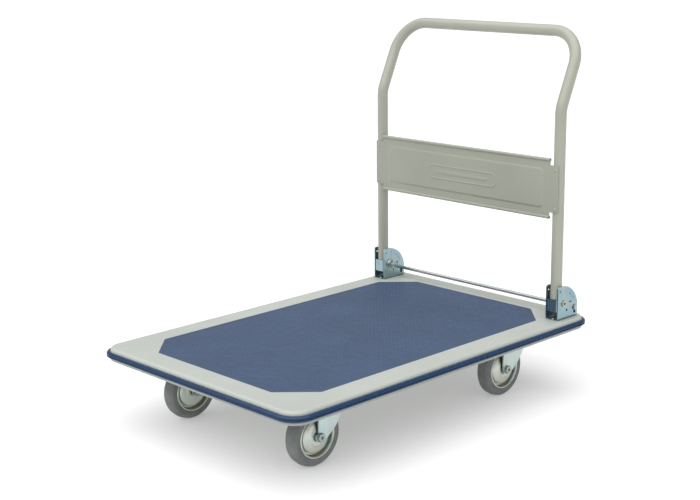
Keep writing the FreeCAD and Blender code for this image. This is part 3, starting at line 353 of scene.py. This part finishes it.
def pip_places():
    """Pips on a square grid turned by 45 degrees, inside the field."""
    mat_x, mat_y = mat_half_size()
    half_x = mat_x - PIP_MARGIN
    half_y = mat_y - PIP_MARGIN
    cut = MAT_CORNER_CUT - 4
    places = []
    rows = int(2 * half_y / (0.5 * PIP_PITCH)) + 1
    for row in range(rows):
        y = -half_y + 0.5 * PIP_PITCH * row + 0.25 * PIP_PITCH
        shift = 0.5 * PIP_PITCH * (row % 2)
        for column in range(int(2 * half_x / PIP_PITCH) + 1):
            x = -half_x + PIP_PITCH * column + shift
            if abs(x) < half_x and abs(y) < half_y and abs(x) + abs(y) < half_x + half_y - cut:
                places.append((x, y))
    return places


def add_pip(points, faces, x, y, foot_z, top_z):
    """Low diamond with a flat top, standing on the field."""
    first = len(points)
    for reach, z in ((PIP_FOOT, foot_z - 0.1), (PIP_HEAD, top_z - 0.05)):
        for dx, dy in ((1, 0), (0, 1), (-1, 0), (0, -1)):
            points.append((x + reach * dx, y + reach * dy, z))
    for j in range(4):
        k = (j + 1) % 4
        faces.append((first + j, first + k, first + 4 + k, first + 4 + j))
    faces.append((first + 4, first + 5, first + 6, first + 7))
    faces.append((first + 3, first + 2, first + 1, first))


# ---------------------------------------------------------------- bumper
DECK_CORNER_R = 38.0
CORNER_STEPS = 12


def bumper_strip():
    """Vinyl strip round the deck wall: D section with two ribs and a groove between."""
    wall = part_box("deck_tray")[1]
    low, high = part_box("edge_bumper")
    wall_x = wall.x / MM
    wall_y = wall.y / MM
    proud = high.x / MM - wall_x
    bottom = low.z / MM
    top = high.z / MM
    middle = 0.5 * (bottom + top)
    corners = [(0.0, bottom), (proud - 3.0, bottom), (proud, bottom + 2.8), (proud, middle - 1.6)]
    corners += [(proud - 2.2, middle), (proud, middle + 1.6), (proud, top - 2.8), (proud - 3.0, top)]
    corners += [(0.0, top)]
    section = rounded(corners, [0, 3.0, 1.6, 0.9, 0.7, 0.9, 1.6, 3.0, 0.3], 4)
    quarters = [(1, 1), (-1, 1), (-1, -1), (1, -1)]
    points = []
    rings = 0
    for quarter, (sign_x, sign_y) in enumerate(quarters):
        centre_x = sign_x * (wall_x - DECK_CORNER_R)
        centre_y = sign_y * (wall_y - DECK_CORNER_R)
        for k in range(CORNER_STEPS + 1):
            angle = 0.5 * math.pi * (quarter + k / CORNER_STEPS)
            for out, z in section:
                reach = DECK_CORNER_R + out
                points.append((centre_x + reach * math.cos(angle), centre_y + reach * math.sin(angle), z))
            rings += 1
    faces = closed_strip_faces(rings, len(section))
    piece = add_mesh("bumper_strip", [Vector(p) * MM for p in points], faces, MATERIALS["bumper_vinyl"])
    place(piece, "root", "bumper_vinyl", "edge_bumper")


# ---------------------------------------------------------------- back panel
PANEL_SHEET = 1.2
PANEL_HALF_Y = 250.8
PANEL_ROLL_R = 3.6
PANEL_TAB_LOW = 408.5
PANEL_TAB_HIGH = 513.0
FIELD_HALF_Y = 233.0
FIELD_MIDDLE_Z = 460.5
FIELD_HALF_Z = 44.5
FIELD_CORNER_R = 9.0
FIELD_PROUD = 2.0
RIB_MIDDLE_Z = 459.5
RIB_HALF_Y = 102.0
RIB_HALF_Z = 15.0
RIB_PROUD = 1.1
BAR_HALF_Y = 76.0
BAR_HALF_Z = 4.5
BAR_PROUD = 1.0
TAB_CORNER_R = 3.0
ROLL_STEPS = 24
SHEET_ROWS = 105
SHEET_COLUMNS = 337


def panel_relief(y, z):
    """How far the pressed sheet stands out from its front plane at (y, z)."""
    field = box_distance(y, z - FIELD_MIDDLE_Z, FIELD_HALF_Y, FIELD_HALF_Z, FIELD_CORNER_R)
    proud = FIELD_PROUD * smooth_step(1.0, -4.4, field)
    oblong = np.abs(box_distance(y, z - RIB_MIDDLE_Z, RIB_HALF_Y, RIB_HALF_Z, RIB_HALF_Z - 0.1))
    bar = box_distance(y, z - RIB_MIDDLE_Z, BAR_HALF_Y, BAR_HALF_Z, BAR_HALF_Z - 0.1)
    return proud + RIB_PROUD * smooth_step(2.6, 0.4, oblong) + BAR_PROUD * smooth_step(0.4, -2.4, bar)


def roll_path(sign, centre_z):
    """Curl of the sheet's edge as (x behind the front plane, z), from the sheet outwards."""
    points = []
    for k in range(ROLL_STEPS + 1):
        angle = math.radians(-100 - 330 * k / ROLL_STEPS)
        x = 0.5 * PANEL_SHEET + PANEL_ROLL_R * math.cos(angle)
        points.append((x, centre_z + sign * PANEL_ROLL_R * math.sin(angle)))
    return points


def panel_sheet():
    """Pressed sheet on the fronts of the legs: curled edges, raised field, oblong rib, end tabs."""
    low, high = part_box("back_panel")
    front_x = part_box("handle_tube")[0].x / MM - PANEL_SHEET
    tab_y = high.y / MM
    low_roll_z = low.z / MM + PANEL_ROLL_R
    high_roll_z = high.z / MM - PANEL_ROLL_R
    straight = list(np.linspace(low_roll_z + PANEL_ROLL_R + 1, high_roll_z - PANEL_ROLL_R - 1, SHEET_ROWS))
    straight = sorted(straight + [PANEL_TAB_LOW, PANEL_TAB_HIGH])
    path = roll_path(-1, low_roll_z)[::-1] + [(0.0, z) for z in straight] + roll_path(1, high_roll_z)
    columns = [-tab_y, -tab_y + 1, -tab_y + 3] + list(np.linspace(-PANEL_HALF_Y, PANEL_HALF_Y, SHEET_COLUMNS))
    columns += [tab_y - 3, tab_y - 1, tab_y]
    grid_y, grid_z = np.meshgrid(columns, [z for x, z in path], indexing="ij")
    proud = panel_relief(grid_y, grid_z)
    tab_middle = 0.5 * (PANEL_TAB_LOW + PANEL_TAB_HIGH)
    tab_half = 0.5 * (PANEL_TAB_HIGH - PANEL_TAB_LOW)
    points = []
    for i, y in enumerate(columns):
        corner = max(abs(y) - (tab_y - TAB_CORNER_R), 0)
        drop = TAB_CORNER_R - math.sqrt(TAB_CORNER_R**2 - corner * corner)
        for j, (x, z) in enumerate(path):
            if drop > 0 and abs(z - tab_middle) > tab_half - drop:
                z = tab_middle + math.copysign(tab_half - drop, z - tab_middle)
            points.append(Vector((front_x + x - proud[i][j], y, z)) * MM)
    rows = len(path)
    faces = []
    for i in range(len(columns) - 1):
        beyond = abs(0.5 * (columns[i] + columns[i + 1])) > PANEL_HALF_Y
        for j in range(rows - 1):
            z = 0.5 * (path[j][1] + path[j + 1][1])
            curled = path[j][0] != 0.0 or path[j + 1][0] != 0.0
            if beyond and (curled or not PANEL_TAB_LOW < z < PANEL_TAB_HIGH):
                continue
            a = i * rows + j
            faces.append((a, a + 1, a + rows + 1, a + rows))
    piece = add_mesh("panel_sheet", points, faces, MATERIALS["panel_paint"], 50)
    drop_loose_points(piece.data)
    wall = piece.modifiers.new("sheet", "SOLIDIFY")
    wall.thickness = PANEL_SHEET * MM
    wall.offset = -1
    place(piece, "handle", "panel_paint", "back_panel")


def drop_loose_points(mesh):
    """Removes points that no face uses."""
    work = bmesh.new()
    work.from_mesh(mesh)
    loose = [v for v in work.verts if not v.link_faces]
    bmesh.ops.delete(work, geom=loose, context="VERTS")
    work.to_mesh(mesh)
    work.free()


# ---------------------------------------------------------------- wheels
def tyre_outline():
    """Tyre section as (radius, y): crowned tread, parting ridge, ringed side walls."""
    half = [(45.0, 14.4), (48.2, 15.9), (50.4, 16.0), (51.3, 15.5), (52.4, 15.5), (53.3, 16.0), (56.0, 15.7)]
    half += [(60.8, 10.4), (62.2, 0.9)]
    half += [(62.5, 0.3)]
    radii = [0.3, 1.0, 0.4, 0.3, 0.3, 0.5, 4.0, 3.0, 0.2, 0.1]
    mirrored = [(r, -y) for r, y in reversed(half)]
    return rounded(half + mirrored, radii + radii[::-1], 5)


def rim_outline():
    """Rim section: hub boss, flat web, barrel and rolled lips."""
    half = [(11.0, 16.0), (15.0, 16.0), (15.0, 4.0), (40.2, 4.0), (40.8, 12.6), (42.0, 15.5), (44.0, 15.8)]
    half += [(45.0, 14.4)]
    radii = [0, 0.4, 1.2, 2.0, 1.0, 1.0, 1.0, 0.2]
    mirrored = [(r, -y) for r, y in reversed(half)]
    return rounded(half + mirrored, radii + radii[::-1], 4)


def disc_outline(sign):
    """Domed cover disc with a rolled rim and a raised ring round the axle."""
    outside = [(35.4, 4.0), (35.4, 10.4), (33.8, 11.9), (28.0, 14.3), (20.6, 15.9), (18.8, 16.9), (9.5, 17.5)]
    inside = [(9.5, 16.3), (15.6, 16.02), (19.8, 14.8), (27.5, 13.1), (33.0, 10.9), (34.2, 9.8), (34.2, 4.0)]
    radii = [0, 1.2, 1.5, 12.0, 2.0, 1.0, 0.3, 0.3, 1.0, 1.5, 12.0, 1.2, 0.8, 0]
    flipped = [(r, sign * y) for r, y in outside + inside]
    if sign < 0:
        return rounded(flipped[::-1], radii[::-1], 4)
    return rounded(flipped, radii, 4)


def wheel(end, side):
    """Tyre, rim and both cover discs of one wheel."""
    tag = "_" + end + "_" + side
    low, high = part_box("tyre" + tag)
    centre = 0.5 * (low + high)
    body = "wheel" + tag
    tyre = lathe("tyre_tread" + tag, tyre_outline(), centre, MATERIALS["tyre_rubber"], 120)
    place(tyre, body, "tyre_rubber", "tyre" + tag)
    rim = lathe("rim_shell" + tag, rim_outline(), centre, MATERIALS["hub_zinc"])
    place(rim, body, "hub_zinc", "wheel_rim" + tag)
    for name, sign in (("outer", 1), ("inner", -1)):
        disc = lathe("hub_disc_" + name + tag, disc_outline(sign), centre, MATERIALS["hub_zinc"])
        place(disc, body, "hub_zinc", "hub_discs" + tag)


# ---------------------------------------------------------------- studio
def add_camera():
    """Camera at the measured place, turned by azimuth, elevation and roll."""
    azimuth = math.radians(CAMERA_AZIMUTH)
    elevation = math.radians(CAMERA_ELEVATION)
    roll = math.radians(CAMERA_ROLL)
    back = Vector((math.sin(azimuth) * math.cos(elevation), -math.cos(azimuth) * math.cos(elevation),
                   math.sin(elevation)))
    right = Vector((math.cos(azimuth), math.sin(azimuth), 0))
    up = back.cross(right)
    rolled_right = math.cos(roll) * right + math.sin(roll) * up
    rolled_up = math.cos(roll) * up - math.sin(roll) * right
    turned = Matrix((rolled_right, rolled_up, back)).transposed().to_4x4()
    data = bpy.data.cameras.new("camera")
    data.lens = CAMERA_LENS_MM
    camera = bpy.data.objects.new("camera", data)
    camera.matrix_world = Matrix.Translation(CAMERA_PLACE) @ turned
    bpy.context.scene.collection.objects.link(camera)
    bpy.context.scene.camera = camera


def add_sun(name, towards, spread_deg, strength):
    """Very soft distant light that comes from one direction."""
    data = bpy.data.lights.new(name, "SUN")
    data.angle = math.radians(spread_deg)
    data.energy = strength
    lamp = bpy.data.objects.new(name, data)
    lamp.matrix_world = Vector(towards).to_track_quat("Z", "Y").to_matrix().to_4x4()
    bpy.context.scene.collection.objects.link(lamp)


def add_studio():
    """Pale floor that glows a little, soft surroundings and one broad light overhead."""
    scene = bpy.context.scene
    scene.view_settings.view_transform = "Standard"
    world = bpy.data.worlds.new("studio")
    world.use_nodes = True
    surround = world.node_tree.nodes["Background"]
    surround.inputs["Color"].default_value = (1.0, 1.0, 1.0, 1)
    surround.inputs["Strength"].default_value = 0.45
    scene.world = world
    paper, tree, shader, at = new_material("paper", (0.60, 0.60, 0.60), 0.0, 0.9)
    tree.links.new(colour_mix(tree, noise(tree, at, 2, 2), (0.595, 0.595, 0.595), (0.605, 0.605, 0.605)),
                   shader.inputs["Base Color"])
    shader.inputs["Emission Color"].default_value = (1.0, 1.0, 1.0, 1)
    shader.inputs["Emission Strength"].default_value = 0.3
    half = 30.0
    corners = [(-half, -half, 0), (half, -half, 0), (half, half, 0), (-half, half, 0)]
    add_mesh("floor", corners, [(0, 1, 2, 3)], paper)
    add_sun("overhead", (-0.30, -0.06, 1.0), 100, 3.6)


paint_cad_nodes()
mat_sheet()
bumper_strip()
panel_sheet()
for wheel_end in ENDS:
    for wheel_side in SIDES:
        wheel(wheel_end, wheel_side)
add_camera()
add_studio()
